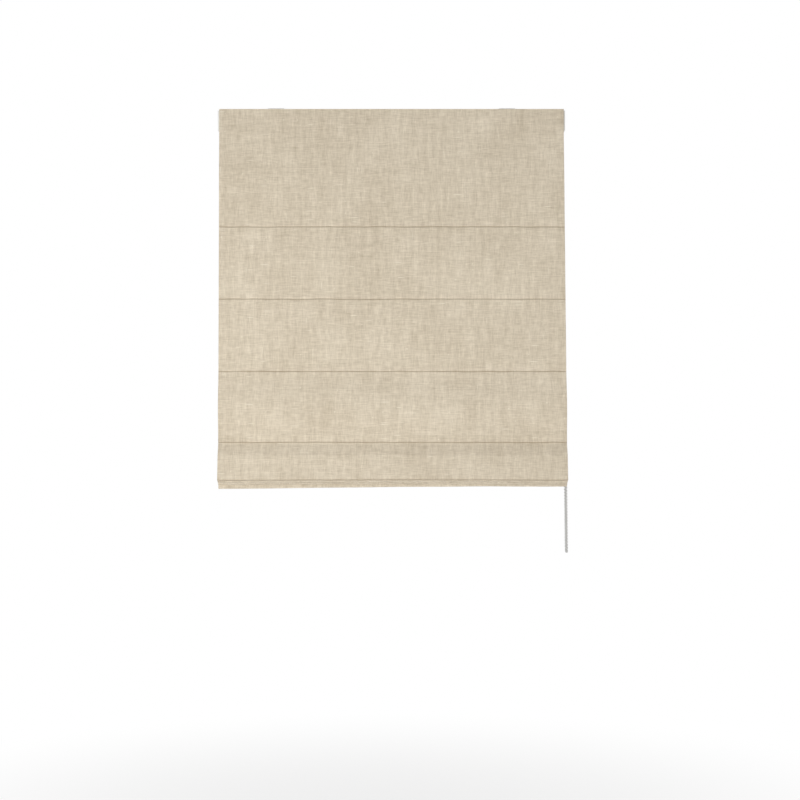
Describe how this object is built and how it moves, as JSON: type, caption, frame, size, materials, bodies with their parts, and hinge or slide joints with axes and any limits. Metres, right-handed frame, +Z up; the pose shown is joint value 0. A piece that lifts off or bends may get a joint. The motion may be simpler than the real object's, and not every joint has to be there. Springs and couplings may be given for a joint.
{
  "type": "window shade",
  "caption": "Flat folded linen window shade, partly raised, hung from a head rail with a bead-chain drive, lift cords, ribs and a weighted bottom hem.",
  "frame": {"origin": "centre of the two mounting brackets' top faces, where they are screwed to the window head", "axes": "+X along the head rail to the right as seen from the room, -Y towards the room, +Z up"},
  "size_m": [0.6979, 0.0644, 0.8871],
  "materials": {
    "linen": "plain woven, matt",
    "lining": "fine plain weave, matt",
    "rail": "white powder coat",
    "white_plastic": "satin moulded",
    "bracket_steel": "satin white",
    "cord": "braided, matt",
    "rib": "smooth rod",
    "ring": "polished",
    "bar_steel": "satin white",
    "chain_plastic": "satin moulded",
    "tape": "hook and loop tape",
    "shaft_steel": "zinc plated",
    "spring_steel": "oiled spring wire"
  },
  "bodies": {
    "headrail": {"headrail": "rail", "left_bracket": "bracket_steel", "right_bracket": "bracket_steel", "end_cap": "white_plastic", "shaft_bearing": "white_plastic", "clutch_housing": "white_plastic", "clutch_core": "white_plastic", "clutch_cover": "white_plastic", "brake_spring": "spring_steel", "left_cradle": "white_plastic", "middle_cradle": "white_plastic", "right_cradle": "white_plastic", "hook_tape": "tape", "loop_tape": "tape", "face_fabric": "linen", "lining": "lining", "left_lift_cord": "cord", "middle_lift_cord": "cord", "right_lift_cord": "cord", "bead_chain": "chain_plastic"},
    "drive": {"shaft": "shaft_steel", "chain_wheel": "white_plastic", "left_drum": "white_plastic", "middle_drum": "white_plastic", "right_drum": "white_plastic"},
    "row_1": {"rib_1": "rib", "rings_1": "ring"},
    "row_2": {"rib_2": "rib", "rings_2": "ring"},
    "row_3": {"rib_3": "rib", "rings_3": "ring"},
    "row_4": {"rib_4": "rib", "rings_4": "ring"},
    "row_5": {"rib_5": "rib", "rings_5": "ring"},
    "row_6": {"rib_6": "rib", "rings_6": "ring"},
    "bottom": {"rib_7": "rib", "rings_7": "ring", "cord_ties": "white_plastic", "weight_bar": "bar_steel", "left_bar_cap": "white_plastic", "right_bar_cap": "white_plastic"}
  },
  "joints": [
    {"name": "raise", "type": "slide", "parent": "headrail", "child": "row_4", "axis": [0, 0, 1], "range_m": [0, 0.53407], "deforming": ["face_fabric", "lining", "left_lift_cord", "middle_lift_cord", "right_lift_cord", "bead_chain"]},
    {"name": "row_1_rise", "type": "slide", "parent": "headrail", "child": "row_1", "axis": [0, 0, 1], "range_m": [-0.0005, 0.16491], "deforming": ["face_fabric", "lining", "left_lift_cord", "middle_lift_cord", "right_lift_cord"]},
    {"name": "row_2_rise", "type": "slide", "parent": "headrail", "child": "row_2", "axis": [0, 0, 1], "range_m": [-0.0005, 0.28899], "deforming": ["face_fabric", "lining", "left_lift_cord", "middle_lift_cord", "right_lift_cord"]},
    {"name": "row_3_rise", "type": "slide", "parent": "headrail", "child": "row_3", "axis": [0, 0, 1], "range_m": [-0.0005, 0.41307], "deforming": ["face_fabric", "lining", "left_lift_cord", "middle_lift_cord", "right_lift_cord"]},
    {"name": "drive_turn", "type": "hinge", "parent": "headrail", "child": "drive", "pos_m": [0, 0, -0.0242], "axis": [1, 0, 0], "range_deg": [-3601, 1], "deforming": ["left_lift_cord", "middle_lift_cord", "right_lift_cord", "bead_chain"]},
    {"name": "drop", "type": "slide", "parent": "row_4", "child": "row_5", "axis": [0, 0, 1], "range_m": [-0.134, 0], "deforming": ["face_fabric", "lining", "left_lift_cord", "middle_lift_cord", "right_lift_cord"]},
    {"name": "row_6_drop", "type": "slide", "parent": "row_5", "child": "row_6", "axis": [0, 0, 1], "range_m": [-0.1345, 0.0005], "deforming": ["face_fabric", "lining", "left_lift_cord", "middle_lift_cord", "right_lift_cord"]},
    {"name": "bottom_drop", "type": "slide", "parent": "row_6", "child": "bottom", "axis": [0, 0, 1], "range_m": [-0.1345, 0.0005], "deforming": ["face_fabric", "lining", "left_lift_cord", "middle_lift_cord", "right_lift_cord"]}
  ],
  "couplings": [
    {"joint": "row_1_rise", "follows": "raise", "ratio": 0.30784},
    {"joint": "row_2_rise", "follows": "raise", "ratio": 0.54017},
    {"joint": "row_3_rise", "follows": "raise", "ratio": 0.77251},
    {"joint": "drive_turn", "follows": "raise", "rad_per_m": -117.65},
    {"joint": "row_6_drop", "follows": "drop", "ratio": 1},
    {"joint": "bottom_drop", "follows": "drop", "ratio": 1}
  ]
}
